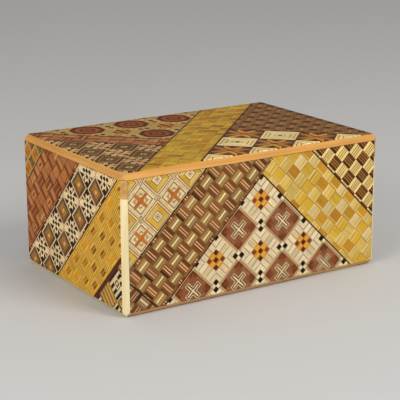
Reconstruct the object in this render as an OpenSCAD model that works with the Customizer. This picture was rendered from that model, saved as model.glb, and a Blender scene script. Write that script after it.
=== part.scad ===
// Wooden puzzle box: a sliding lid over two sliding end panels, each with a key strip above it.
// Millimetres. X runs along the box, Y across it, Z up. The origin is the middle of the underside.
// Every outer piece is cut from one bevelled block, so the bevels run on across the seams.

/* [Box] */
// Length over the end panels
box_len = 152; // [110:1:220]
// Width over the long sides
box_wid = 103.5; // [80:0.5:150]
// Height from the underside to the lid's top
box_hgt = 70; // [50:1:100]
// Leg of the 45 degree bevel on the outer edges
bevel = 2.9; // [1:0.1:3.4]

/* [Boards] */
// Thickness of the front and back walls, without their veneer
wall_t = 5; // [4:0.1:8]
// Thickness of the fixed inner end walls
inner_t = 4; // [3:0.1:6]
// Thickness of the base, with its veneer
base_t = 3.4; // [2.8:0.1:5]
// Thickness of the lid, with its veneer
lid_t = 3.2; // [2.8:0.1:5]
// Thickness of the sliding end panels, with their veneer
panel_t = 3.1; // [2.8:0.1:5]
// Thickness of the glued sheets of marquetry
veneer_t = 0.4; // [0.3:0.1:0.8]

/* [Lid battens] */
// Length of each batten under the lid
batten_len = 34; // [25:1:45]
// Width of a batten, beside the wall
batten_wid = 6; // [4:0.5:9]
// Height of a batten below the lid
batten_hgt = 5; // [4.4:0.1:6]
// Depth of a batten's tongue in the wall's groove
tongue_reach = 1.8; // [1:0.1:2.2]
// Height of a batten's tongue
tongue_hgt = 2; // [1.4:0.1:2.4]
// Distance from the batten's lower face up to its tongue
tongue_rise = 0.6; // [0.4:0.1:1]
// Width of the cross cleat under the lid
cleat_wid = 7; // [5:0.5:12]
// Thickness of the cross cleat
cleat_t = 2.6; // [2:0.1:4]

/* [End slides] */
// Height of the key strip above each end panel
key_hgt = 8.6; // [6:0.1:14]
// How far the key strips and end panels slide down
end_travel = 4.5; // [2:0.1:6]
// Depth of the guides between an end panel and its inner wall
guide_t = 3.8; // [3.4:0.1:6]
// Thickness of a guide's lip
lip_t = 1.6; // [1:0.1:2]
// How far a guide's lip laps over the slide
lip_reach = 2.2; // [1.4:0.1:3.5]
// Width of a guide behind its lip
guide_wid = 5; // [3:0.5:9]

/* [Fits] */
// Gap between faces that slide past each other
slide_gap = 0.2; // [0.1:0.05:0.3]
// Gap left at the end of a travel
stop_gap = 0.3; // [0.2:0.1:0.5]
// Gap at the seam between a key strip and its end panel
seam_gap = 0.1; // [0.05:0.05:0.2]
// Lift of the end panels off the surface that the box stands on
panel_lift = 0.2; // [0.1:0.1:0.4]

/* [Hidden] */

LEFT = -1;
RIGHT = 1;
FRONT = -1;
BACK = 1;

// Planes across the box, as distances from its middle
side_y = box_wid / 2;              // outer face of the long sides
wall_out_y = side_y - veneer_t;    // outer face of the long walls, under the veneer
wall_in_y = wall_out_y - wall_t;   // inner face of the long walls
end_x = box_len / 2;               // outer face of the end panels
panel_in_x = end_x - panel_t;      // inner face of the end panels
case_x = panel_in_x - slide_gap;   // end of the base and of the long walls
inner_out_x = case_x - guide_t;    // outer face of the inner end walls
inner_in_x = inner_out_x - inner_t; // inner face of the inner end walls

// Levels
lid_z = box_hgt - lid_t;           // underside of the lid
case_z = lid_z - slide_gap;        // top of the walls, guides and key strips
seam_z = case_z - key_hgt;         // lower face of the key strips
batten_z = lid_z - batten_hgt;     // lower face of the battens
tongue_z = batten_z + tongue_rise; // lower face of the battens' tongues
slide_z = base_t + stop_gap + end_travel; // lower end of the slides on the end panels

// Lid battens
batten_x = -inner_in_x + stop_gap;  // left end of the battens, which stop the closed lid
batten_y = wall_in_y - slide_gap;   // face of a batten beside the wall

// Slides and guides
lip_x = case_x - lip_t;             // face of a guide's lip that holds the slide
flange_y = wall_in_y - guide_wid - slide_gap; // half width of a slide's flange
web_y = flange_y - lip_reach;       // half width of a slide between the lips

case_wood = "#cfa566";
lid_wood = "#dfa452";
panel_wood = "#ecd9a0";
key_wood = "#cb9a5b";
batten_wood = "#d9b880";
front_sheet = "#a8813f";
end_sheet = "#a06a43";
top_sheet = "#b08a4a";

// Rectangle with cut corners, centred on the origin
module cut_rect(w, h) {
    x = w / 2;
    y = h / 2;
    polygon([
        [-x + bevel, -y], [x - bevel, -y], [x, -y + bevel], [x, y - bevel],
        [x - bevel, y], [-x + bevel, y], [-x, y - bevel], [-x, -y + bevel]
    ]);
}

// The closed box's outer shape, with all twelve edges bevelled
module bevelled_block() {
    translate([0, 0, box_hgt / 2]) intersection() {
        linear_extrude(box_hgt, center = true) cut_rect(box_len, box_wid);
        rotate([90, 0, 0]) linear_extrude(box_wid, center = true) cut_rect(box_len, box_hgt);
        rotate([90, 0, 90]) linear_extrude(box_len, center = true) cut_rect(box_wid, box_hgt);
    }
}

// Upright block between two opposite corners, in any order
module slab(a, b) {
    low = [for (i = [0:2]) min(a[i], b[i])];
    high = [for (i = [0:2]) max(a[i], b[i])];
    translate(low) cube(high - low);
}

// The same block, where it lies inside the bevelled outer shape
module outer_slab(a, b) {
    intersection() {
        slab(a, b);
        bevelled_block();
    }
}

// Board that closes the bottom, under the walls
module base_board() {
    color(case_wood)
        outer_slab([-case_x, -wall_out_y, veneer_t], [case_x, wall_out_y, base_t]);
}

// Sheet under the base, which the box stands on
module base_veneer() {
    color(top_sheet)
        outer_slab([-case_x, -side_y, 0], [case_x, side_y, veneer_t]);
}

// Front or back wall, grooved from end to end for the tongue of a lid batten
module long_wall(side) {
    groove_y = wall_in_y + tongue_reach + slide_gap;
    color(case_wood) difference() {
        outer_slab([-case_x, side * wall_in_y, base_t], [case_x, side * wall_out_y, case_z]);
        slab([-case_x - 1, side * (wall_in_y - 1), tongue_z - slide_gap],
             [case_x + 1, side * groove_y, tongue_z + tongue_hgt + slide_gap]);
    }
}

// Sheet of marquetry on the front or back, which laps over the edge of the base
module long_veneer(side) {
    color(front_sheet) difference() {
        outer_slab([-case_x, side * wall_out_y, 0], [case_x, side * side_y, case_z]);
        slab([-case_x - 1, -side_y - 1, -1], [case_x + 1, side_y + 1, veneer_t]);
    }
}

// Fixed wall at an end of the compartment
module inner_wall(side) {
    color(case_wood)
        slab([side * inner_in_x, -wall_in_y, base_t], [side * inner_out_x, wall_in_y, case_z]);
}

// Upright strip with a lip, which holds the slides of an end panel and its key strip
module end_guide(side, face) {
    back_y = face * (wall_in_y - guide_wid);
    lip_y = face * (wall_in_y - guide_wid - lip_reach);
    color(batten_wood) union() {
        slab([side * inner_out_x, face * wall_in_y, base_t], [side * case_x, back_y, case_z]);
        slab([side * lip_x, face * wall_in_y, base_t], [side * case_x, lip_y, case_z]);
    }
}

// Board of the lid, over the walls and the end panels
module lid_board() {
    color(lid_wood)
        outer_slab([-end_x, -side_y, lid_z], [end_x, side_y, box_hgt - veneer_t]);
}

// Sheet of marquetry on the lid
module lid_veneer() {
    color(top_sheet)
        outer_slab([-end_x, -side_y, box_hgt - veneer_t], [end_x, side_y, box_hgt]);
}

// Batten under the lid, with a tongue that runs in the wall's groove
module lid_batten(side) {
    color(batten_wood) union() {
        slab([batten_x, side * (batten_y - batten_wid), batten_z],
             [batten_x + batten_len, side * batten_y, lid_z]);
        slab([batten_x, side * (batten_y - batten_wid), tongue_z],
             [batten_x + batten_len, side * (wall_in_y + tongue_reach), tongue_z + tongue_hgt]);
    }
}

// Cleat across the lid between its battens, which keeps the board flat
module lid_cross_cleat() {
    half_y = batten_y - batten_wid;
    color(batten_wood)
        slab([batten_x, -half_y, lid_z - cleat_t], [batten_x + cleat_wid, half_y, lid_z]);
}

// Board of an end piece that spans the box between two levels
module end_board(side, low_z, high_z) {
    outer_slab([side * panel_in_x, -side_y, low_z], [side * (end_x - veneer_t), side_y, high_z]);
}

// Sheet of marquetry on an end piece between two levels
module end_sheet_slab(side, low_z, high_z) {
    outer_slab([side * (end_x - veneer_t), -side_y, low_z], [side * end_x, side_y, high_z]);
}

// Slide behind an end piece: a web between the guides' lips and a flange behind them
module end_slide(side, low_z, high_z) {
    flange_x = lip_x - slide_gap;
    union() {
        slab([side * flange_x, -web_y, low_z], [side * panel_in_x, web_y, high_z]);
        slab([side * (inner_out_x + slide_gap), -flange_y, low_z],
             [side * flange_x, flange_y, high_z]);
    }
}

// End panel: its board, its sheet and its slide
module panel_board(side) {
    color(panel_wood) end_board(side, panel_lift, seam_z - seam_gap);
}
module panel_veneer(side) {
    color(end_sheet) end_sheet_slab(side, panel_lift, seam_z - seam_gap);
}
module panel_slide(side) {
    color(batten_wood) end_slide(side, slide_z, seam_z - seam_gap - slide_gap);
}

// Key strip above an end panel: its board, its sheet and its slide
module key_board(side) {
    color(key_wood) end_board(side, seam_z, case_z);
}
module key_veneer(side) {
    color(end_sheet) end_sheet_slab(side, seam_z, case_z);
}
module key_slide(side) {
    color(batten_wood) end_slide(side, seam_z + slide_gap, case_z - slide_gap);
}

base_board();
base_veneer();
long_wall(FRONT);  // front_wall
long_veneer(FRONT);  // front_veneer
long_wall(BACK);  // back_wall
long_veneer(BACK);  // back_veneer
inner_wall(LEFT);  // left_inner_wall
inner_wall(RIGHT);  // right_inner_wall
end_guide(LEFT, FRONT);  // left_front_guide
end_guide(LEFT, BACK);  // left_back_guide
end_guide(RIGHT, FRONT);  // right_front_guide
end_guide(RIGHT, BACK);  // right_back_guide
lid_board();
lid_veneer();
lid_batten(FRONT);  // front_lid_batten
lid_batten(BACK);  // back_lid_batten
lid_cross_cleat();
panel_board(LEFT);  // left_panel_board
panel_veneer(LEFT);  // left_panel_veneer
panel_slide(LEFT);  // left_panel_slide
key_board(LEFT);  // left_key_board
key_veneer(LEFT);  // left_key_veneer
key_slide(LEFT);  // left_key_slide
panel_board(RIGHT);  // right_panel_board
panel_veneer(RIGHT);  // right_panel_veneer
panel_slide(RIGHT);  // right_panel_slide
key_board(RIGHT);  // right_key_board
key_veneer(RIGHT);  // right_key_veneer
key_slide(RIGHT);  // right_key_slide
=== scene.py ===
"""Looks of the wooden puzzle box: its boards, its sheets of marquetry and their woods.

The scene is in metres. The marquetry is drawn in millimetres on each face, as convex pieces of
wood that a later piece may cover. A face's u and v run from its lower left corner, seen from
outside.
"""
import math
import random

import bmesh
import bpy
from mathutils import Matrix, Vector
from mathutils.geometry import delaunay_2d_cdt


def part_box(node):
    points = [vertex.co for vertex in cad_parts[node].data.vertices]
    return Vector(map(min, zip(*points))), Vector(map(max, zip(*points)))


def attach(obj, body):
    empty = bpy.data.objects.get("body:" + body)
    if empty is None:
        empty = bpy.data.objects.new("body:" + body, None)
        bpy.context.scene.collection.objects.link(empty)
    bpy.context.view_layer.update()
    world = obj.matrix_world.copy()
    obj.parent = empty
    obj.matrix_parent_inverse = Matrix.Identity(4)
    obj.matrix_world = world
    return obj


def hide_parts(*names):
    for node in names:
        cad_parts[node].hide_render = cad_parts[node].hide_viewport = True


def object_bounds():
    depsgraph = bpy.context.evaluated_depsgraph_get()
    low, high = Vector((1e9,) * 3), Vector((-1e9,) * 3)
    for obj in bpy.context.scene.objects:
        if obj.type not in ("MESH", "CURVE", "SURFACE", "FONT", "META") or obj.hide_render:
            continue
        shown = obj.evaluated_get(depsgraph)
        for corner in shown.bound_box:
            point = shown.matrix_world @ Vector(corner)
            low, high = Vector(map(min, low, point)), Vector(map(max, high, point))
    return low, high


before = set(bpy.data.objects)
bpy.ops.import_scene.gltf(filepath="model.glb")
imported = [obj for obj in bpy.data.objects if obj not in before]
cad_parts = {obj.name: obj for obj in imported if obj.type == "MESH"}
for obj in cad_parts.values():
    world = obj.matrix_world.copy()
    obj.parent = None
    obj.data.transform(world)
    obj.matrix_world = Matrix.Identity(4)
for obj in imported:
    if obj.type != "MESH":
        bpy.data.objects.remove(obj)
cad_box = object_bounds()

MM = 0.001
ROOT2 = math.sqrt(2)
QUARTER = math.pi / 2
BOX_LO, BOX_HI = (Vector(corner) for corner in cad_box)


# ---------------------------------------------------------------- woods

# Colour of each wood in sRGB, and how far one piece of it may differ from the next
WOODS = {
    "ivory": ("#f0dfb4", 0.04),
    "cream": ("#e3cd9c", 0.05),
    "peach": ("#dcae82", 0.05),
    "straw": ("#dfc36e", 0.06),
    "lemon": ("#dcb440", 0.06),
    "gold": ("#cf992e", 0.06),
    "amber": ("#e59b33", 0.05),
    "ochre": ("#b17c26", 0.07),
    "orange": ("#cd7826", 0.06),
    "rust": ("#b8783a", 0.07),
    "tan": ("#aa8047", 0.06),
    "fawn": ("#94784a", 0.06),
    "khaki": ("#816738", 0.06),
    "olive": ("#6d5529", 0.07),
    "hazel": ("#80552f", 0.07),
    "chestnut": ("#6b4120", 0.07),
    "walnut": ("#5d391b", 0.07),
    "copper": ("#ba7546", 0.07),
    "rosewood": ("#93603f", 0.07),
    "redwood": ("#8c441d", 0.08),
    "maroon": ("#602411", 0.07),
    "umber": ("#44270d", 0.07),
    "ebony": ("#1d1109", 0.04),
    "seam": ("#3b220e", 0.04),
}


def linear(hex_colour):
    """Linear colour of an sRGB hex string."""
    parts = [int(hex_colour[i:i + 2], 16) / 255 for i in (1, 3, 5)]
    return [c / 12.92 if c <= 0.04045 else ((c + 0.055) / 1.055) ** 2.4 for c in parts]


# ---------------------------------------------------------------- marquetry in two dimensions

# Lengths are in millimetres
SLIVER = 0.04             # a piece narrower than this is left out
SAME_SPOT = 0.01          # corners of a piece nearer to each other than this are one
WELD = 0.001              # and corners of two pieces nearer than this
INSIDE_ONLY = 1           # triangulation without the ground around the outlines
FAR = 500                 # value of v - u, or of u + v, past every piece of a face
LARGEST_FACE = (152, 104)  # length and width of the lid, rounded up
LATTICE_REACH = 180       # how far a lattice reaches from its centre, along u and v
LINE_ENDS = (-10, 170)    # values of u between which a long line runs
BORDER = 0.75             # width of the dark line between two zones
SHADE_SPREAD = 2.2        # share of a wood's spread by which its pieces differ in brightness
WARMTH_SPREAD = 0.6       # and in warmth
WARMTH = (1, 0, -1.4)     # what more warmth does to red, green and blue
GRAIN_SHIFT = 40          # range of the random place at which a piece is cut from its plank
SHIFT_ALONG = 7           # share of that shift along the grain


def clipped(points, a, b, c):
    """The part of a convex outline where a*u + b*v <= c."""
    out = []
    for i, q in enumerate(points):
        p = points[i - 1]
        p_over = a * p[0] + b * p[1] - c
        q_over = a * q[0] + b * q[1] - c
        if (p_over > 0) != (q_over > 0):
            t = p_over / (p_over - q_over)
            out.append((p[0] + t * (q[0] - p[0]), p[1] + t * (q[1] - p[1])))
        if q_over <= 0:
            out.append(q)
    return out


def area(points):
    """Area of an outline, negative if it runs clockwise."""
    return sum(p[0] * q[1] - q[0] * p[1] for p, q in zip(points, points[1:] + points[:1])) / 2


def cut_to(points, limits):
    """The part of a convex outline inside all the limits, or nothing if only a sliver is left."""
    for limit in limits:
        points = clipped(points, *limit)
        if len(points) < 3:
            return []
    points = [q for p, q in zip(points[-1:] + points, points) if math.dist(p, q) > SAME_SPOT]
    if len(points) < 3:
        return []
    longest = max(math.dist(p, q) for p, q in zip(points[-1:] + points, points))
    return points if abs(area(points)) > SLIVER * longest else []


def rising(low=-FAR, high=FAR):
    """Zone limits of a band that runs up to the right, by v - u."""
    return [(-1, 1, high), (1, -1, -low)]


def falling(low=-FAR, high=FAR):
    """Zone limits of a band that runs down to the right, by u + v."""
    return [(1, 1, high), (-1, -1, -low)]


def holds(points, u, v):
    """Whether a convex outline that runs anticlockwise holds a point."""
    return all((q[0] - p[0]) * (v - p[1]) >= (q[1] - p[1]) * (u - p[0])
               for p, q in zip(points[-1:] + points, points))


def overlaid(outlines):
    """Triangles of the overlaid outlines, and for each one the last outline that covers it."""
    spots, faces = [], []
    for points in outlines:
        faces.append(list(range(len(spots), len(spots) + len(points))))
        spots.extend(Vector(p) for p in points)
    spots, _, triangles, _, _, sources = delaunay_2d_cdt(
        spots, [], faces, INSIDE_ONLY, WELD, True)
    kept, owners = [], []
    for triangle, source in zip(triangles, sources):
        middle = sum((spots[i] for i in triangle), Vector((0, 0))) / 3
        for owner in sorted(source, reverse=True):
            if holds(outlines[owner], *middle):
                kept.append(triangle)
                owners.append(owner)
                break
    return spots, kept, owners


class Inlay:
    """The pieces of wood on one face of the box, in the order in which they are drawn."""

    def __init__(self, seed):
        self.random = random.Random(seed)
        self.pieces = []
        self.zone = []
        self.stain = (1, 1, 1)

    def start(self, *limits, stain=(1, 1, 1)):
        """Next zone: its limits, and the linear colour by which its woods are stained."""
        self.zone = [limit for group in limits for limit in group]
        self.stain = stain

    def add(self, points, wood, angle):
        """One convex piece, whose grain runs at an angle from u."""
        points = cut_to(points, self.zone)
        if not points:
            return
        if area(points) < 0:
            points = points[::-1]
        hex_colour, spread = WOODS[wood]
        shade = 1 + self.random.uniform(-spread, spread) * SHADE_SPREAD
        warm = self.random.uniform(-spread, spread) * WARMTH_SPREAD
        colour = [c * shade * (1 + warm * k) * stain
                  for c, k, stain in zip(linear(hex_colour), WARMTH, self.stain)]
        self.pieces.append((points, colour, angle, self.random.uniform(0, GRAIN_SHIFT)))

    def line(self, start, end, width, wood):
        """A thin strip between two points."""
        a, b = Vector(start), Vector(end)
        along = (b - a).normalized()
        side = Vector((-along.y, along.x)) * width / 2
        corners = [a - side, b - side, b + side, a + side]
        self.add([tuple(p) for p in corners], wood, math.atan2(along.y, along.x))

    def rising_line(self, edge, width, wood):
        """A long strip up to the right, at the given value of v - u."""
        start, end = LINE_ENDS
        self.line((start, edge + start), (end, edge + end), width, wood)

    def border(self, rising=(), falling=()):
        """Dark lines between zones, at the given values of v - u and of u + v."""
        start = LINE_ENDS[0]
        for edge in rising:
            self.rising_line(edge, BORDER, "seam")
        for edge in falling:
            self.line((start, edge - start), (edge - start, start), BORDER, "seam")

    def lattice(self, centre, pitch):
        """Centres of a square lattice on and around the face, in the zone or near it."""
        length, width = LARGEST_FACE
        steps = range(math.floor(-LATTICE_REACH / pitch), math.ceil(LATTICE_REACH / pitch))
        for i in steps:
            for j in steps:
                u, v = centre[0] + i * pitch, centre[1] + j * pitch
                on_face = -pitch < u < length + pitch and -pitch < v < width + pitch
                if on_face and all(a * u + b * v < c + 2 * pitch for a, b, c in self.zone):
                    yield u, v


class Tile:
    """Local axes of a tile turned by 45 degrees: a runs up to the right, b up to the left."""

    def __init__(self, inlay, u, v, turn=0):
        self.inlay, self.u, self.v = inlay, u, v
        self.angle = math.pi / 4 + turn * QUARTER
        self.cos, self.sin = math.cos(self.angle), math.sin(self.angle)

    def turns(self):
        """The tile in its four quarter turns."""
        return [Tile(self.inlay, self.u, self.v, i) for i in range(4)]

    def pick(self, *woods):
        """One of the woods, at random."""
        return self.inlay.random.choice(woods)

    def poly(self, points, wood, turn=0.0):
        """Convex piece whose grain runs along a, or at an angle from it."""
        spots = [(self.u + a * self.cos - b * self.sin, self.v + a * self.sin + b * self.cos)
                 for a, b in points]
        self.inlay.add(spots, wood, self.angle + turn)

    def bar(self, a0, b0, a1, b1, wood, turn=0.0):
        """Rectangle between two corners, with its grain along a or at an angle from it."""
        self.poly([(a0, b0), (a1, b0), (a1, b1), (a0, b1)], wood, turn)

    def strip(self, half, low, high, wood):
        """Strip across a block along a. low and high are shares of its half side."""
        self.bar(-half, half * low, half, half * high, wood)

    def inset(self, half, reach, low, high, wood):
        """Strip that ends within the block. reach, low and high are shares of its half side."""
        self.bar(-half * reach, half * low, half * reach, half * high, wood)

    def cell(self, a, b, half, wood):
        """Small square around a point of the tile."""
        self.bar(a - half, b - half, a + half, b + half, wood)

    def square(self, half, *woods):
        """Square of one wood, or mitred square of four pieces with the grain along its sides."""
        if len(woods) == 1:
            self.bar(-half, -half, half, half, woods[0])
            return
        corners = [(half, -half), (half, half), (-half, half), (-half, -half)]
        for i in range(4):
            side = [(0, 0), corners[i], corners[(i + 1) % 4]]
            self.poly(side, woods[i % len(woods)], QUARTER * (1 - i % 2))


def basket(inlay, centre, pitch, block_a, block_b, turn=0):
    """Basket weave: blocks that run up to the right and blocks across them, as a draughtboard.

    A block is a function of its tile and its half side. One pitch is two blocks across a diagonal.
    """
    half = pitch / ROOT2 / 2
    for u, v in inlay.lattice(centre, pitch):
        block_a(Tile(inlay, u, v, turn), half)
        block_b(Tile(inlay, u + pitch / 2, v + pitch / 2, turn + 1), half)


ON, BETWEEN = 0.0, 0.5    # places of a tile: on a lattice, or in the middle of four of its centres


def field(inlay, centre, pitch, *layers):
    """Tiles on a lattice. A layer is a function of a tile, and the tile's place."""
    for u, v in inlay.lattice(centre, pitch):
        for draw, place in layers:
            draw(Tile(inlay, u + place * pitch, v + place * pitch))


# ---------------------------------------------------------------- tiles and blocks

# Pitch of each field, and half the side of its tiles
LATTICE_PITCH, LATTICE_HALF = 18.0, 6.36
FLOWER_PITCH, FLOWER_HALF = 26.4, 9.35
DIAMOND_PITCH, DIAMOND_HALF = 17.1, 6.05
STRIPED_PITCH, STRIPED_HALF = 18.3, 6.3
HEXAGON_PITCH, HEXAGON_HALF = 18.6, 6.54
FRAMED_PITCH, FRAMED_HALF = 26.4, 9.34


def yellow_tile(tile):
    """Yellow frame between thin brown and ivory ones."""
    for half, *woods in ((LATTICE_HALF, "ivory"), (6.0, "hazel"), (5.6, "ivory"), (4.95, "hazel"),
                         (4.6, "lemon", "straw", "lemon", "straw"), (2.3, "hazel"), (2.0, "ivory"),
                         (1.1, "tan"), (0.8, "ivory"), (0.4, "umber")):
        tile.square(half, *woods)


def cross_tile(tile):
    """Cream quarters with a chevron each, between the arms of a rust cross."""
    tile.square(LATTICE_HALF, "cream")
    for quarter in tile.turns():
        quarter.bar(0.6, 0.6, 5.6, 5.6, "ivory")
        quarter.bar(0.6, 0.6, 4.8, 4.8, "khaki")
        quarter.bar(0.6, 0.6, 4.3, 4.3, "ivory", QUARTER)
        quarter.bar(0.6, 0.6, 3.3, 3.3, "cream")
        quarter.bar(1.2, 1.2, 2.7, 2.7, "fawn")
        quarter.bar(1.2, 1.2, 2.2, 2.2, "ivory")
        quarter.bar(4.9, 4.9, LATTICE_HALF, LATTICE_HALF, "fawn")
        quarter.bar(5.3, 5.3, 6.1, 6.1, "ivory")
    for arm in tile.turns():
        arm.bar(0, -1.0, 5.2, 1.0, "peach")
        arm.bar(0, -0.7, 4.7, 0.7, "rust")
    tile.square(1.3, "rust", "orange")


def lattice_field(inlay, centre):
    """The yellow tiles are drawn over all the crosses."""
    field(inlay, centre, LATTICE_PITCH, (cross_tile, BETWEEN))
    field(inlay, centre, LATTICE_PITCH, (yellow_tile, ON))


def brown_a(tile, half):
    tile.square(half, "fawn")
    tile.strip(half, 0.66, 1, "hazel")
    tile.strip(half, -1, -0.7, "hazel")
    tile.inset(half, 0.88, -0.13, 0.13, "cream")


def brown_b(tile, half):
    tile.square(half, tile.pick("hazel", "hazel", "chestnut"))
    tile.strip(half, 0.56, 1, tile.pick("chestnut", "chestnut", "umber"))
    tile.strip(half, -1, -0.5, tile.pick("chestnut", "hazel", "chestnut", "walnut"))
    for low in (-0.3, 0.12):
        tile.strip(half, low, low + 0.13, "peach")


def yellow_a(tile, half):
    tile.square(half, tile.pick("straw", "cream", "straw", "lemon", "straw"))
    tile.strip(half, -1, -0.9, "tan")
    tile.strip(half, -0.5, -0.26, "lemon")
    tile.strip(half, 0.1, 0.26, "cream")
    tile.strip(half, 0.8, 1, "ivory")


def yellow_b(tile, half):
    tile.square(half, tile.pick("gold", "lemon", "gold", "lemon", "straw", "gold", "ochre"))
    tile.strip(half, -1, -0.9, "tan")
    tile.strip(half, 0.55, 0.82, "straw")


def pale_block(tile, half):
    tile.square(half, "cream")
    tile.strip(half, 0.7, 1, "ivory")
    tile.strip(half, -1, -0.74, "ivory")
    for low in (-0.5, -0.1, 0.3):
        tile.strip(half, low, low + 0.14, "fawn")


def dark_block(tile, half):
    tile.square(half, "walnut")
    tile.strip(half, 0.6, 1, "umber")
    tile.strip(half, -1, -0.6, tile.pick("chestnut", "walnut", "hazel"))
    for low in (-0.4, 0.0, 0.4):
        tile.strip(half, low, low + 0.12, "tan")


DIAGONALS = ((0, 0), (1, 1), (1, -1), (-1, 1), (-1, -1))  # the middle and the corners of nine


def flower_tile(tile):
    """Gold cross of nine squares with cream blocks around it."""
    block, edge, line = 3.0, 9.33, 0.15   # side of a block, where the blocks end, half a line
    middle = 1.5 * block                  # half the side of the square with the cross
    step = 2.75                           # from one square of the cross to the next
    tile.square(FLOWER_HALF, "cream")
    for side in tile.turns():
        for k in range(3):
            low = (k - 1.5) * block
            side.bar(middle, low, edge, low + block, "cream" if k % 2 else "ivory")
        for k in range(4):
            low = (k - 1.5) * block
            side.bar(middle, low - line, edge, low + line, "hazel")
        side.bar(middle + line, middle + line, edge, edge, "ivory")
        side.bar(6.75, 6.75, 9.25, 9.25, "ebony")
    for i, j in ((-1, 0), (0, -1), (0, 1), (1, 0)):
        a, b = step * i, step * j
        tile.cell(a, b, 1.7, "amber")
        tile.bar(a - 1.6, b - 0.5, a + 1.6, b + 0.5, "lemon")
    for i, j in DIAGONALS:
        tile.cell(step * i, step * j, 1.2, "maroon" if i == j else "redwood")


def brown_tile(tile):
    """Red-brown square with darker, notched corners and a pale double cross."""
    for half, wood in ((FLOWER_HALF, "cream"), (8.4, "khaki"), (8.05, "peach"),
                       (7.6, "rosewood")):
        tile.square(half, wood)
    for corner in tile.turns():
        corner.bar(3.4, 3.4, 7.3, 7.3, "chestnut")
        corner.bar(3.4, 3.4, 6.3, 6.3, "redwood", QUARTER)
        corner.bar(3.4, 3.4, 5.2, 5.2, "hazel")
        corner.bar(6.0, -3.0, 6.35, 3.0, "copper", QUARTER)
        for low, wood in ((6.9, "khaki"), (7.2, "cream"), (7.8, "ivory")):
            corner.bar(low, low, FLOWER_HALF, FLOWER_HALF, wood)
    for wide, wood, reach in ((1.5, "cream", 5.1), (1.05, "chestnut", 4.65), (0.38, "ivory", 4.1)):
        for arm in tile.turns():
            arm.bar(0, -wide, reach, wide, wood)


def rose_tile(tile):
    """Round maroon flower with copper rings, made of octagons, on ivory."""
    tile.square(FLOWER_HALF, "ivory")
    for half, wood in ((9.1, "copper"), (8.6, "maroon"), (7.2, "redwood"), (6.2, "copper"),
                       (4.4, "redwood"), (2.4, "copper"), (1.0, "maroon")):
        near = half * 0.42
        tile.poly([(half, -near), (half, near), (near, half), (-near, half),
                   (-half, near), (-half, -near), (-near, -half), (near, -half)], wood)


def flower_field(inlay, centre, other=brown_tile):
    field(inlay, centre, FLOWER_PITCH, (flower_tile, ON), (other, BETWEEN))


def diamond_tile(tile):
    """Brown frames that step up to a gold square."""
    for half, *woods in ((DIAMOND_HALF, "hazel"), (5.75, "ivory"), (5.1, "umber"),
                         (4.8, "walnut", "olive", "hazel", "chestnut"),
                         (3.6, "khaki", "fawn", "hazel", "khaki"), (2.4, "tan", "ochre"),
                         (1.5, "hazel"), (1.15, "straw", "amber")):
        tile.square(half, *woods)


def star_tile(tile):
    """Checks of cream and ebony, with an ebony or a cream kite towards each corner."""
    tile.square(DIAMOND_HALF, "ivory")
    for a, b in DIAGONALS:
        tile.cell(1.95 * a, 1.95 * b, 1.0, "ebony")
    for i, side in enumerate(tile.turns()):
        side.poly([(2.9, -0.2), (6.0, -3.9), (6.0, -0.2)], "ebony")
        side.poly([(3.3, 0.8), (5.9, 0.8), (5.9, 2.8)], "walnut")
        if i % 2 == 0:
            side.poly([(3.4, 3.4), (DIAMOND_HALF, 2.7), (DIAMOND_HALF, DIAMOND_HALF),
                       (2.7, DIAMOND_HALF)], "ebony")
        else:
            side.bar(3.5, 3.5, 6.0, 6.0, "ivory")


def diamond_field(inlay, centre):
    field(inlay, centre, DIAMOND_PITCH, (star_tile, BETWEEN), (diamond_tile, ON))


def red_a(tile, half):
    tile.square(half, tile.pick("copper", "copper", "redwood"))
    tile.strip(half, 0.5, 1, "copper")
    tile.strip(half, 0.8, 1, "redwood")
    tile.strip(half, -1, -0.85, "redwood")
    tile.strip(half, -0.45, -0.25, "peach" if tile.inlay.random.random() < 0.3 else "copper")
    if tile.inlay.random.random() < 0.2:
        tile.inset(half, 0.7, -0.5, 0.3, "peach")
        tile.inset(half, 0.58, -0.36, 0.16, "redwood")


def red_b(tile, half):
    tile.square(half, "redwood")
    tile.strip(half, -0.8, 0.35, "copper")
    tile.strip(half, -0.3, -0.12, "peach" if tile.inlay.random.random() < 0.3 else "copper")
    tile.strip(half, 0.76, 1, "maroon")


def lined_a(tile, half):
    tile.square(half, "gold")
    for low in (-0.8, 0.58):
        tile.strip(half, low, low + 0.22, "straw")
    if tile.inlay.random.random() < 0.8:
        tile.inset(half, 0.7, -0.5, -0.1, tile.pick("ochre", "hazel"))
        tile.inset(half, 0.7, 0.06, 0.46, tile.pick("hazel", "ochre"))


def lined_b(tile, half):
    tile.square(half, tile.pick("ochre", "gold", "gold"))
    for low in (-0.84, -0.34, 0.16, 0.66):
        tile.strip(half, low, low + 0.22, "straw")
        tile.strip(half, low + 0.22, low + 0.34, "tan")


def amber_square(tile, half):
    tile.square(half, "straw")
    tile.square(half * 0.84, "orange", "amber")


def khaki_square(tile, half):
    tile.square(half, "straw")
    tile.square(half * 0.84, "khaki", "tan")


def striped_diamond(tile):
    """Gold square with brown and ivory stripes."""
    inner = 5.9
    tile.square(STRIPED_HALF, "umber")
    tile.square(inner, "gold")
    for k in range(4):
        low = -inner + k * 2.95
        tile.bar(low, -inner, low + 1.0, inner, "hazel", QUARTER)
        tile.bar(low + 1.0, -inner, low + 1.35, inner, "ivory", QUARTER)


def banded_tile(tile):
    """Ivory and ebony bands with a small square on them."""
    tile.square(STRIPED_HALF, "ivory")
    for k in range(4):
        low = -5.9 + k * 3.2
        tile.bar(-STRIPED_HALF, low, STRIPED_HALF, low + 1.7, "ebony")
    tile.square(2.3, "ivory")
    tile.square(1.6, "hazel")
    tile.square(0.7, "ivory")


def striped_field(inlay, centre):
    field(inlay, centre, STRIPED_PITCH, (banded_tile, BETWEEN), (striped_diamond, ON))


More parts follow.
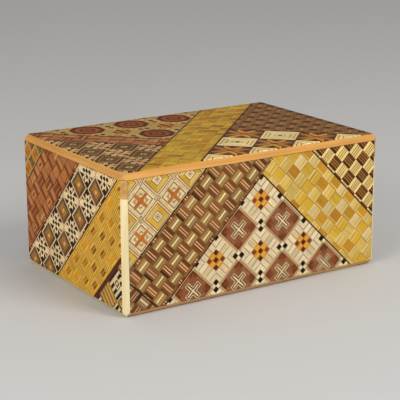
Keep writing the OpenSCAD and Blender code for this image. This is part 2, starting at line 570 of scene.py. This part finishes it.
def hexagon_tile(tile):
    """Olive and cream frames around a pale square."""
    for half, *woods in ((HEXAGON_HALF, "cream"), (6.15, "umber"), (5.7, "khaki", "olive"),
                         (4.5, "cream"), (4.1, "umber"), (3.7, "olive", "khaki"), (2.1, "umber"),
                         (1.7, "cream"), (0.6, "khaki")):
        tile.square(half, *woods)


def cluster_tile(tile):
    """Cream, ebony and peach squares between the dark tiles."""
    tile.square(HEXAGON_HALF, "ivory")
    for i, side in enumerate(tile.turns()):
        side.poly([(2.7, -2.2), (6.4, -4.4), (6.4, -1.0)], "ebony")
        side.poly([(3.9, 0.5), (6.4, 1.2), (6.4, 3.4)], "walnut")
        side.bar(0.7, 0.7, 2.7, 2.7, "ebony" if i % 2 else "redwood")
        side.bar(4.2, 4.2, 6.5, 6.5, "walnut" if i % 2 else "peach")
    tile.square(0.9, "peach")


def hexagon_field(inlay, centre):
    """Rows of the two tiles, with cream lines between the rows."""
    field(inlay, centre, HEXAGON_PITCH, (cluster_tile, BETWEEN), (hexagon_tile, ON))
    for k in range(-9, 10):
        inlay.rising_line(centre[1] - centre[0] + (k + 0.5) * HEXAGON_PITCH, 0.55, "cream")


def framed_tile(tile):
    """Cream square with broken brown rings and a dark middle."""
    tile.square(FRAMED_HALF, "umber")
    tile.square(9.0, "ivory", "cream")
    for side in tile.turns():
        side.bar(7.3, -6.2, 7.65, 6.2, "hazel", QUARTER)
        side.bar(5.2, -4.2, 5.55, 4.2, "walnut", QUARTER)
    tile.square(2.6, "khaki")
    tile.square(2.3, "cream")
    tile.square(1.1, "umber")


def butterfly_tile(tile):
    """Gold and tan wings on brown, with darker triangles in them."""
    tile.square(FRAMED_HALF, "umber")
    tile.square(9.0, "hazel", "rosewood")
    for i, side in enumerate(tile.turns()):
        for tip, wide, wood in ((0.6, 7.2, "tan" if i % 2 else "gold"), (3.6, 4.4, "redwood"),
                                (5.8, 2.4, "umber")):
            side.poly([(tip, 0), (8.9, -wide), (8.9, wide)], wood)
        side.bar(4.6, 4.6, 9.0, 9.0, "chestnut")
        side.bar(6.6, 6.6, 9.0, 9.0, "umber")
    tile.square(1.7, "redwood")


def framed_field(inlay, centre):
    field(inlay, centre, FRAMED_PITCH, (framed_tile, ON), (butterfly_tile, BETWEEN))


def dull_a(tile, half):
    tile.square(half, "rosewood")
    tile.strip(half, 0.45, 1, "hazel")
    tile.inset(half, 0.9, -0.14, 0.14, "copper")


def dull_b(tile, half):
    tile.square(half, "hazel")
    tile.strip(half, -1, -0.6, "rosewood")
    tile.inset(half, 0.62, -0.5, 0.62, "umber")


def mellow_a(tile, half):
    tile.square(half, tile.pick("gold", "lemon", "gold"))
    tile.strip(half, -1, -0.84, "ochre")
    tile.strip(half, 0.4, 1, "lemon")


def mellow_b(tile, half):
    tile.square(half, tile.pick("gold", "lemon", "ochre", "lemon"))
    tile.strip(half, -1, -0.88, "khaki")
    tile.strip(half, 0.3, 0.7, "straw")


# ---------------------------------------------------------------- the six faces

# Pitch of the weaves
WEAVE, WIDE_WEAVE, LINED_WEAVE, AMBER_WEAVE = 8.85, 8.95, 9.0, 9.2

# Stains that more than one zone has
CHECK_STAIN = (1.06, 0.95, 0.62)
DIAMOND_STAIN = (1.08, 0.94, 0.79)
FLOWER_STAIN = (0.93, 0.88, 0.86)
LATTICE_STAIN = (0.92, 0.83, 0.74)
YELLOW_STAIN = (0.92, 0.85, 0.69)

# Two zones overlap by this, so that no gap is left under the line between them
OVERLAP = 0.5


def front_pattern(inlay):
    """Lattice, brown weave, flowers, yellow weave and draughtboard, with a turned corner."""
    first, second, third, fourth, corner = 20.5, -19.5, 137.5, 175.5, 20.5
    inlay.start(rising(second, first), stain=(1.22, 1.19, 1.06))
    basket(inlay, (19.5, 24.4), WEAVE, brown_a, brown_b)
    inlay.start(falling(high=corner))
    basket(inlay, (10.65, 6.7), WEAVE, brown_a, brown_b, turn=1)
    inlay.start(rising(low=first), stain=LATTICE_STAIN)
    lattice_field(inlay, (18.8, 47.2))
    inlay.start(rising(high=second), falling(high=third), stain=FLOWER_STAIN)
    flower_field(inlay, (77.7, 46.5))
    inlay.start(falling(third, fourth), rising(high=second + OVERLAP), stain=YELLOW_STAIN)
    basket(inlay, (92.9, 61.5), WIDE_WEAVE, yellow_a, yellow_b)
    inlay.start(falling(low=fourth), stain=CHECK_STAIN)
    basket(inlay, (118.9, 62.8), WIDE_WEAVE, pale_block, dark_block)
    inlay.start(falling(corner, third))
    inlay.border(rising=(first, second))
    inlay.start()
    inlay.border(falling=(corner, fourth))
    inlay.start(rising(high=second))
    inlay.border(falling=(third,))


def back_pattern(inlay):
    """The woods of the front in another order, along lines that lean the other way."""
    first, second, third, fourth = 172.5, 132.5, -14.5, 24.0
    inlay.start(falling(second, first))
    basket(inlay, (121.0, 30.0), WEAVE, red_a, red_b, turn=1)
    inlay.start(falling(low=first), stain=DIAMOND_STAIN)
    diamond_field(inlay, (136.0, 48.0))
    inlay.start(falling(high=second), rising(high=third), stain=FLOWER_STAIN)
    flower_field(inlay, (74.0, 46.5))
    inlay.start(rising(third, fourth), falling(high=second + OVERLAP), stain=YELLOW_STAIN)
    basket(inlay, (40.0, 50.0), WIDE_WEAVE, yellow_a, yellow_b)
    inlay.start(rising(low=fourth))
    basket(inlay, (18.0, 60.0), WIDE_WEAVE, brown_a, brown_b)
    inlay.start()
    inlay.border(rising=(fourth,), falling=(first, second))
    inlay.start(falling(high=second))
    inlay.border(rising=(third,))


def left_pattern(inlay):
    """Amber squares, red weave, diamonds, gold weave and striped diamonds."""
    first, second, third, fourth = 41.5, 4.6, -32.6, -71.2
    inlay.start(rising(second, first), stain=(0.99, 0.96, 0.64))
    basket(inlay, (20, 40), WEAVE, red_a, red_b)
    inlay.start(rising(low=first), stain=(0.75, 0.64, 0.5))
    basket(inlay, (6.0, 61.8), AMBER_WEAVE, amber_square, khaki_square)
    inlay.start(rising(third, second), stain=DIAMOND_STAIN)
    diamond_field(inlay, (44.4, 39.0))
    inlay.start(rising(fourth, third), stain=(1.11, 0.97, 0.47))
    basket(inlay, (66.0, 27.0), LINED_WEAVE, lined_a, lined_b)
    inlay.start(rising(high=fourth), stain=(1.0, 0.92, 0.75))
    striped_field(inlay, (88, 7))
    inlay.rising_line(fourth - 1.6, 1.7, "maroon")
    inlay.start()
    inlay.border(rising=(first, second, third, fourth))


def right_pattern(inlay):
    """Draughtboard, gold weave, lattice, brown weave and diamonds."""
    first, second, third, fourth = 36.0, 68.0, 101.0, 139.0
    inlay.start(falling(high=first), stain=CHECK_STAIN)
    basket(inlay, (10.0, 12.0), WIDE_WEAVE, pale_block, dark_block)
    inlay.start(falling(first, second))
    basket(inlay, (30.0, 22.0), LINED_WEAVE, lined_a, lined_b, turn=1)
    inlay.start(falling(second, third), stain=LATTICE_STAIN)
    lattice_field(inlay, (48.0, 36.5))
    inlay.start(falling(third, fourth))
    basket(inlay, (66.0, 54.0), WEAVE, brown_a, brown_b, turn=1)
    inlay.start(falling(low=fourth), stain=DIAMOND_STAIN)
    diamond_field(inlay, (92.0, 62.0))
    inlay.start()
    inlay.border(falling=(first, second, third, fourth))


def lid_pattern(inlay):
    """Flowers, a red weave and hexagons, a gold band, then a dull weave and framed squares."""
    first, second, third, fourth, fifth = -7.8, -42.2, 106.0, 85.0, 145.5
    inlay.start(rising(low=first), falling(low=third), stain=(0.58, 0.42, 0.2))
    flower_field(inlay, (18.0, 77.3), rose_tile)
    inlay.start(rising(low=first), falling(fourth, third), stain=(0.8, 0.88, 0.7))
    basket(inlay, (30, 60), WEAVE, red_a, red_b)
    inlay.start(rising(low=first), falling(high=fourth), stain=(0.67, 0.47, 0.29))
    hexagon_field(inlay, (10.0, 28.8))
    inlay.start(rising(second, first), stain=(0.75, 0.68, 0.4))
    basket(inlay, (70, 47), WEAVE, mellow_a, mellow_b)
    inlay.start(rising(high=second), falling(low=fifth), stain=(0.9, 0.95, 0.6))
    basket(inlay, (125, 48), WEAVE, dull_a, dull_b)
    inlay.start(rising(high=second), falling(high=fifth), stain=(1.0, 0.9, 0.66))
    framed_field(inlay, (80.8, 25.0))
    inlay.start()
    inlay.border(rising=(first, second))


def base_pattern(inlay):
    """A plain weave with one gold band, as the underside is seldom seen."""
    band = (-42.2, -7.8)
    inlay.start()
    basket(inlay, (20, 40), WEAVE, dull_a, brown_b)
    inlay.start(rising(*band), stain=(0.78, 0.76, 0.55))
    basket(inlay, (70, 47), WEAVE, mellow_a, mellow_b)
    inlay.start()
    inlay.border(rising=band)


# ---------------------------------------------------------------- sheets of marquetry

def material_of(name, build):
    """New material whose shader is set up by build(tree, shader)."""
    material = bpy.data.materials.new(name)
    material.use_nodes = True
    tree = material.node_tree
    build(tree, tree.nodes["Principled BSDF"])
    return material


def node(tree, kind, **settings):
    """New shader node. A setting names a property, or an input by its label."""
    made = tree.nodes.new("ShaderNode" + kind)
    for key, value in settings.items():
        if hasattr(made, key):
            setattr(made, key, value)
        else:
            made.inputs[key.replace("_", " ")].default_value = value
    return made


def noise(tree, vector, scales, detail=3.0):
    """Noise of a vector that is first multiplied by a scale along each axis."""
    spread = node(tree, "VectorMath", operation="MULTIPLY")
    tree.links.new(vector, spread.inputs[0])
    spread.inputs[1].default_value = scales
    made = node(tree, "TexNoise", Scale=1.0, Detail=detail, Roughness=0.55)
    tree.links.new(spread.outputs["Vector"], made.inputs["Vector"])
    return made.outputs["Fac"]


def remap(tree, value, low, high, start=0.3, end=0.7):
    """Value between start and end, brought to between low and high."""
    made = node(tree, "MapRange", From_Min=start, From_Max=end, To_Min=low, To_Max=high)
    tree.links.new(value, made.inputs["Value"])
    return made.outputs["Result"]


def times(tree, colour, value):
    """Colour scaled by a value."""
    made = node(tree, "VectorMath", operation="SCALE")
    tree.links.new(colour, made.inputs[0])
    tree.links.new(value, made.inputs["Scale"])
    return made.outputs["Vector"]


def multiply(tree, first, second):
    """Product of two values."""
    made = node(tree, "Math", operation="MULTIPLY")
    tree.links.new(first, made.inputs[0])
    tree.links.new(second, made.inputs[1])
    return made.outputs["Value"]


def relief(tree, shader, height, strength, distance):
    """Bump of a surface, over a distance in metres."""
    bump = node(tree, "Bump", Strength=strength, Distance=distance)
    tree.links.new(height, bump.inputs["Height"])
    tree.links.new(bump.outputs["Normal"], shader.inputs["Normal"])


def inlaid_wood(tree, shader):
    """Wood whose colour and grain come from the mesh, piece by piece. Noise scales are per mm."""
    tone = node(tree, "Attribute", attribute_name="tone").outputs["Vector"]
    grain = node(tree, "Attribute", attribute_name="grain").outputs["Vector"]
    fibre = noise(tree, grain, (0.12, 3.2, 1))
    cloud = noise(tree, grain, (0.15, 0.5, 1), 2.0)
    shade = multiply(tree, remap(tree, fibre, 0.80, 1.16), remap(tree, cloud, 0.9, 1.08))
    tree.links.new(times(tree, tone, shade), shader.inputs["Base Color"])
    tree.links.new(remap(tree, fibre, 0.5, 0.42), shader.inputs["Roughness"])
    relief(tree, shader, fibre, 0.12, 0.1 * MM)
    shader.inputs["Specular IOR Level"].default_value = 0.12


def plain_wood(light, dark, axis, coat=0.15):
    """Wood of one plank, whose grain runs along an axis: 0, 1 or 2."""
    def along(fine, coarse):
        """Noise scales per metre: a fine one across the grain, a coarse one along it."""
        return tuple(coarse if i == axis else fine for i in range(3))

    def build(tree, shader):
        spot = node(tree, "TexCoord").outputs["Object"]
        wander = noise(tree, spot, along(60, 25), 2.0)
        band = noise(tree, spot, along(420, 14), 3.0)
        fibre = noise(tree, spot, along(2600, 60), 2.0)
        pore = noise(tree, spot, along(4200, 220), 1.0)
        ramp = node(tree, "ValToRGB")
        for stop, wood, position in zip(ramp.color_ramp.elements, (dark, light), (0.28, 0.62)):
            stop.color = (*linear(wood), 1)
            stop.position = position
        tree.links.new(band, ramp.inputs["Fac"])
        shade = multiply(tree, remap(tree, fibre, 0.90, 1.05), remap(tree, wander, 0.93, 1.05))
        shade = multiply(tree, shade, remap(tree, pore, 0.82, 1.0, start=0.24, end=0.36))
        tree.links.new(times(tree, ramp.outputs["Color"], shade), shader.inputs["Base Color"])
        tree.links.new(remap(tree, fibre, 0.55, 0.44), shader.inputs["Roughness"])
        relief(tree, shader, fibre, 0.25, 0.08 * MM)
        shader.inputs["Specular IOR Level"].default_value = 0.35
        shader.inputs["Coat Weight"].default_value = coat
        shader.inputs["Coat Roughness"].default_value = 0.35
    return build


MARQUETRY = material_of("inlaid_wood", inlaid_wood)
LENGTH, ACROSS, UPRIGHT = 0, 1, 2
LID_WOOD = material_of("lid_wood", plain_wood("#e3a54f", "#cf8c3a", LENGTH, 0.3))
LID_END_WOOD = material_of("lid_end_wood", plain_wood("#e0a24c", "#cb8838", ACROSS, 0.3))
KEY_WOOD = material_of("key_wood", plain_wood("#daa95f", "#c08843", ACROSS, 0.3))
PANEL_WOOD = material_of("panel_wood", plain_wood("#fceab8", "#f0d89c", UPRIGHT, 0.3))
BASE_WOOD = material_of("base_wood", plain_wood("#dcaa68", "#c08c4c", LENGTH, 0.3))
BASE_END_WOOD = material_of("base_end_wood", plain_wood("#dcaa68", "#c08c4c", ACROSS, 0.3))
WALL_WOOD = material_of("wall_wood", plain_wood("#d9b47c", "#c59a60", LENGTH))
INNER_WOOD = material_of("inner_wood", plain_wood("#d6b078", "#c0955c", ACROSS))
BATTEN_WOOD = material_of("batten_wood", plain_wood("#e2c690", "#cfab70", LENGTH))
GUIDE_WOOD = material_of("guide_wood", plain_wood("#e0c38c", "#cba56a", UPRIGHT))
SLIDE_WOOD = material_of("slide_wood", plain_wood("#dcbc84", "#c69e64", ACROSS))


class Face:
    """A face of the box: its lower left corner in the scene, and its axes."""

    def __init__(self, corner, right, up):
        self.corner, self.right, self.up = Vector(corner), Vector(right), Vector(up)
        self.out = self.right.cross(self.up)

    def point(self, u, v, depth=0.0):
        """Place in the scene of a point at a depth under the face, all in millimetres."""
        return self.corner + MM * (u * self.right + v * self.up - depth * self.out)

    def uv(self, point):
        """u and v, in millimetres, of a place in the scene."""
        offset = (Vector(point) - self.corner) / MM
        return offset.dot(self.right), offset.dot(self.up)


X, Y, Z = Vector((1, 0, 0)), Vector((0, 1, 0)), Vector((0, 0, 1))
FACES = {
    "front": Face(BOX_LO, X, Z),
    "back": Face((BOX_HI.x, BOX_HI.y, BOX_LO.z), -X, Z),
    "left": Face((BOX_LO.x, BOX_HI.y, BOX_LO.z), -Y, Z),
    "right": Face((BOX_HI.x, BOX_LO.y, BOX_LO.z), Y, Z),
    "top": Face((BOX_LO.x, BOX_LO.y, BOX_HI.z), X, Y),
    "base": Face((BOX_LO.x, BOX_HI.y, BOX_LO.z), X, -Y),
}


def install(mesh, name, ending, body, slot, *materials):
    """Object made from a bmesh, in place of a CAD piece."""
    data = bpy.data.meshes.new(name + ending)
    mesh.to_mesh(data)
    mesh.free()
    for material in materials:
        data.materials.append(material)
    made = bpy.data.objects.new(name + ending, data)
    bpy.context.collection.objects.link(made)
    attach(made, body)
    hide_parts(name)
    return made


# Colour, angle and offset of the wood behind the pieces
BACKING = (linear("#c9a468"), 0.0, 0.0)

# The sheet's own UV map: the side that shows above this, then a row with the rim and the underside
UV_TOP = 0.06
UV_ROW = 0.02
UV_RIM, UV_UNDERSIDE, UV_SPAN = 0.01, 0.5, 0.4


def sheet(name, body, slot, face, inlay, bevelled):
    """Plate of marquetry in place of a CAD sheet. bevelled names its sides that slope outwards."""
    face = FACES[face]
    ends = [face.uv(corner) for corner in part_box(name)]
    low, high = ([choose(pair) for pair in zip(*ends)] for choose in (min, max))
    thick = min(b - a for a, b in zip(*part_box(name))) / MM
    inset = {side: thick if side in bevelled else 0.0
             for side in ("left", "right", "bottom", "top")}
    left, bottom = low[0] + inset["left"], low[1] + inset["bottom"]
    right, top = high[0] - inset["right"], high[1] - inset["top"]

    limits = [(-1, 0, -left), (1, 0, right), (0, -1, -bottom), (0, 1, top)]
    pieces = [(cut_to(points, limits), *look) for points, *look in inlay.pieces]
    pieces = [piece for piece in pieces if piece[0]]
    outline = [(left, bottom), (right, bottom), (right, top), (left, top)]
    spots, triangles, owners = overlaid([outline] + [points for points, *_ in pieces])

    mesh = bmesh.new()
    tone = mesh.loops.layers.float_color.new("tone")
    grain = mesh.loops.layers.float_vector.new("grain")
    flat = mesh.loops.layers.uv.new("OFBake")
    corners = [mesh.verts.new(face.point(*spot)) for spot in spots]
    places = dict(zip(corners, spots))

    def paint(polygon, colour, angle, offset):
        """Colour of a polygon, and its grain's place and direction."""
        cos, sin = math.cos(angle), math.sin(angle)
        for loop in polygon.loops:
            u, v = face.uv(loop.vert.co)
            loop[tone] = (*colour, 1.0)
            loop[grain] = (u * cos + v * sin + offset * SHIFT_ALONG, v * cos - u * sin, offset)

    def unwrap_hidden(loop, start):
        """UV of a corner of the rim or of the underside."""
        share = (face.uv(loop.vert.co)[0] - low[0]) / (high[0] - low[0])
        loop[flat].uv = (start + UV_SPAN * share, UV_ROW)

    # The side that shows: the triangles of one piece are joined to one polygon
    owned = {}
    for triangle, owner in zip(triangles, owners):
        owned[mesh.faces.new([corners[i] for i in triangle])] = owner
    inner = [edge for edge in mesh.edges if len(edge.link_faces) == 2
             and owned[edge.link_faces[0]] == owned[edge.link_faces[1]]]
    for polygon, owner in owned.items():
        polygon.material_index = owner
    bmesh.ops.dissolve_edges(mesh, edges=inner, use_verts=False)
    for polygon in mesh.faces:
        owner = polygon.material_index
        polygon.material_index = 0
        paint(polygon, *(pieces[owner - 1][1:] if owner else BACKING))
        for loop in polygon.loops:
            u, v = places[loop.vert]
            loop[flat].uv = ((u - left) / (right - left),
                             UV_TOP + (1 - UV_TOP) * (v - bottom) / (top - bottom))

    # The rim, in the colours of the pieces above it
    rim = [edge.link_loops[0] for edge in mesh.edges if len(edge.link_faces) == 1]
    following = {loop.vert: loop.link_loop_next.vert for loop in rim}
    under = {}
    for vert in following:
        u, v = places[vert]
        u += (abs(u - right) < SAME_SPOT) * inset["right"]
        u -= (abs(u - left) < SAME_SPOT) * inset["left"]
        v += (abs(v - top) < SAME_SPOT) * inset["top"]
        v -= (abs(v - bottom) < SAME_SPOT) * inset["bottom"]
        under[vert] = mesh.verts.new(face.point(u, v, thick))
    for loop in rim:
        first, second = loop.vert, following[loop.vert]
        polygon = mesh.faces.new([second, first, under[first], under[second]])
        for corner in polygon.loops:
            corner[tone], corner[grain] = loop[tone], loop[grain]
            unwrap_hidden(corner, UV_RIM)

    # The underside
    chain = [rim[0].vert]
    while following[chain[-1]] != chain[0]:
        chain.append(following[chain[-1]])
    underside = mesh.faces.new([under[vert] for vert in reversed(chain)])
    paint(underside, *BACKING)
    for loop in underside.loops:
        unwrap_hidden(loop, UV_UNDERSIDE)
    install(mesh, name, "_inlaid", body, slot, MARQUETRY)


# ---------------------------------------------------------------- boards

BEVEL = 2.9               # leg of the bevel along the box's outer edges, as in the CAD
CORNER_SOFTENING = 2.7    # rounding of the edges where two bevels meet
EDGE_SOFTENING = 0.22     # rounding of the edges of the inner pieces
SLOPING = 0.3             # part of a normal along an axis, from which a face slopes along it
SHARP_ANGLE = 35          # in degrees, from which an edge is drawn sharp


def is_bevel(polygon):
    """Whether a face is a part of a bevel, which slopes along two axes."""
    return sum(abs(part) > SLOPING for part in polygon.normal) == 2


def cut_bevel(mesh, i, j, up_i, up_j):
    """Cut along the box's edge where its faces across axes i and j meet, and close the cut."""
    normal, edge = Vector((0, 0, 0)), Vector((0, 0, 0))
    normal[i], normal[j] = up_i, up_j
    edge[i] = (BOX_HI if up_i > 0 else BOX_LO)[i] - up_i * BEVEL * MM
    edge[j] = (BOX_HI if up_j > 0 else BOX_LO)[j]
    everything = mesh.verts[:] + mesh.edges[:] + mesh.faces[:]
    cut = bmesh.ops.bisect_plane(mesh, geom=everything, dist=1e-7, plane_co=edge,
                                 plane_no=normal, clear_outer=True)
    rim = [part for part in cut["geom_cut"] if isinstance(part, bmesh.types.BMEdge)]
    if rim:
        bmesh.ops.contextual_create(mesh, geom=rim)


def board(name, body, slot, material, ends=None):
    """A board of the box's skin, cut to the box's bevels and softened where they meet.

    ends is the wood of its bevels at the box's ends, where it isn't the same.
    """
    low, high = (Vector(corner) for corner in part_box(name))
    mesh = bmesh.new()
    bmesh.ops.create_cube(mesh, size=1.0)
    for vert in mesh.verts:
        vert.co = Vector(low[i] + (vert.co[i] + 0.5) * (high[i] - low[i]) for i in range(3))
    for i, j in ((0, 1), (0, 2), (1, 2)):
        for up_i, up_j in ((-1, -1), (-1, 1), (1, -1), (1, 1)):
            cut_bevel(mesh, i, j, up_i, up_j)
    bmesh.ops.recalc_face_normals(mesh, faces=mesh.faces)
    mesh.normal_update()
    soft = [edge for edge in mesh.edges if all(is_bevel(f) for f in edge.link_faces)]
    bmesh.ops.bevel(mesh, geom=soft, offset=CORNER_SOFTENING * MM, offset_type="OFFSET",
                    segments=5, profile=0.5, affect="EDGES", clamp_overlap=True)
    made = install(mesh, name, "_shaped", body, slot, material, ends or material)
    for polygon in made.data.polygons:
        polygon.use_smooth = True
        # The second wood is that of a face towards the box's ends
        polygon.material_index = int(abs(polygon.normal.x) > abs(polygon.normal.y) + 0.01)
    made.modifiers.new("smooth", "WEIGHTED_NORMAL").keep_sharp = True
    made.data.set_sharp_from_angle(angle=math.radians(SHARP_ANGLE))


def dress(material, *names):
    """Finish of an inner CAD piece: softened edges and its wood."""
    for name in names:
        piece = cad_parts[name]
        piece.modifiers.new("join", "WELD").merge_threshold = 0.01 * MM
        arris = piece.modifiers.new("arris", "BEVEL")
        arris.width = EDGE_SOFTENING * MM
        arris.segments = 2
        arris.limit_method = "ANGLE"
        piece.data.materials.clear()
        piece.data.materials.append(material)


board("lid_board", "lid", "lid_wood", LID_WOOD, LID_END_WOOD)
board("base_board", "case", "case_wood", BASE_WOOD, BASE_END_WOOD)
for side in ("left", "right"):
    board(side + "_panel_board", side + "_panel", "panel_wood", PANEL_WOOD)
    board(side + "_key_board", side + "_key", "key_wood", KEY_WOOD)
    dress(INNER_WOOD, side + "_inner_wall")
    dress(GUIDE_WOOD, side + "_front_guide", side + "_back_guide")
    dress(SLIDE_WOOD, side + "_panel_slide", side + "_key_slide")
dress(WALL_WOOD, "front_wall", "back_wall")
dress(BATTEN_WOOD, "front_lid_batten", "back_lid_batten", "lid_cross_cleat")


# ---------------------------------------------------------------- the sheets in place

def inlaid(seed, pattern):
    """Inlay of a face, whose random draws start at the seed."""
    inlay = Inlay(seed)
    pattern(inlay)
    return inlay


sheet("front_veneer", "case", "side_marquetry", "front", inlaid(11, front_pattern), ["bottom"])
sheet("back_veneer", "case", "side_marquetry", "back", inlaid(12, back_pattern), ["bottom"])
sheet("lid_veneer", "lid", "lid_marquetry", "top", inlaid(13, lid_pattern),
      ["left", "right", "bottom", "top"])
sheet("base_veneer", "case", "base_marquetry", "base", inlaid(14, base_pattern), ["bottom", "top"])
for side, inlay in (("left", inlaid(15, left_pattern)), ("right", inlaid(16, right_pattern))):
    panel, key = side + "_panel", side + "_key"
    sheet(panel + "_veneer", panel, "end_marquetry", side, inlay, ["left", "right", "bottom"])
    sheet(key + "_veneer", key, "end_marquetry", side, inlay, ["left", "right"])


# ---------------------------------------------------------------- floor, light and camera

FLOOR_SIZE = 40
FLOOR_COLOUR, FLOOR_ROUGHNESS = (0.62, 0.61, 0.59, 1), 0.7
LAMP_TARGET, LAMP_SIZE = (0, 0, 0.03), 0.7

# Camera: direction of view and roll in degrees, place from the middle of the underside, lens in mm
AZIMUTH, ELEVATION, ROLL = 32.90, 15.58, -0.25
CAMERA_PLACE = (-0.36201, -0.55918, 0.22015)
LENS, SENSOR = 119.43, 36


def floor_paint(tree, shader):
    shader.inputs["Base Color"].default_value = FLOOR_COLOUR
    shader.inputs["Roughness"].default_value = FLOOR_ROUGHNESS


def add_floor():
    """Floor, a hair below the box so that the two don't share a plane."""
    bpy.ops.mesh.primitive_plane_add(size=FLOOR_SIZE, location=(0, 0, BOX_LO.z - 0.02 * MM))
    floor = bpy.context.object
    floor.name = "floor"
    floor.data.materials.append(material_of("floor_paint", floor_paint))


def add_lamp(name, position, power):
    light = bpy.data.lights.new(name, "AREA")
    light.shape = "DISK"
    light.size = LAMP_SIZE
    light.energy = power
    lamp = bpy.data.objects.new(name, light)
    lamp.location = position
    ray = Vector(LAMP_TARGET) - Vector(position)
    lamp.rotation_euler = ray.to_track_quat("-Z", "Y").to_euler()
    bpy.context.collection.objects.link(lamp)


def add_world():
    """Studio that is bright above and dim towards the horizon."""
    world = bpy.data.worlds.new("studio")
    world.use_nodes = True
    tree = world.node_tree
    height = node(tree, "SeparateXYZ")
    tree.links.new(node(tree, "TexCoord").outputs["Generated"], height.inputs[0])
    strength = remap(tree, height.outputs["Z"], 0.10, 0.55, start=0.0, end=0.8)
    tree.links.new(strength, tree.nodes["Background"].inputs["Strength"])
    tree.nodes["Background"].inputs["Color"].default_value = (1, 1, 1, 1)
    bpy.context.scene.world = world


def add_camera():
    """Camera from the front left, a little above the box."""
    azimuth, elevation, roll = (math.radians(a) for a in (AZIMUTH, ELEVATION, ROLL))
    level = math.cos(elevation)
    view = Vector((math.sin(azimuth) * level, math.cos(azimuth) * level, -math.sin(elevation)))
    camera = bpy.data.cameras.new("camera")
    camera.lens = LENS
    camera.sensor_width = SENSOR
    camera.clip_start = 0.01
    eye = bpy.data.objects.new("camera", camera)
    middle = Vector(((BOX_LO.x + BOX_HI.x) / 2, (BOX_LO.y + BOX_HI.y) / 2, BOX_LO.z))
    eye.matrix_world = (Matrix.Translation(middle + Vector(CAMERA_PLACE))
                        @ view.to_track_quat("-Z", "Y").to_matrix().to_4x4()
                        @ Matrix.Rotation(roll, 4, "Z"))
    bpy.context.collection.objects.link(eye)
    bpy.context.scene.camera = eye


add_floor()
add_world()
add_lamp("key", (0.3, -0.95, 0.75), 7.5)
add_lamp("fill", (-1.0, -0.35, 0.55), 5.5)
add_camera()
bpy.context.scene.view_settings.view_transform = "Standard"
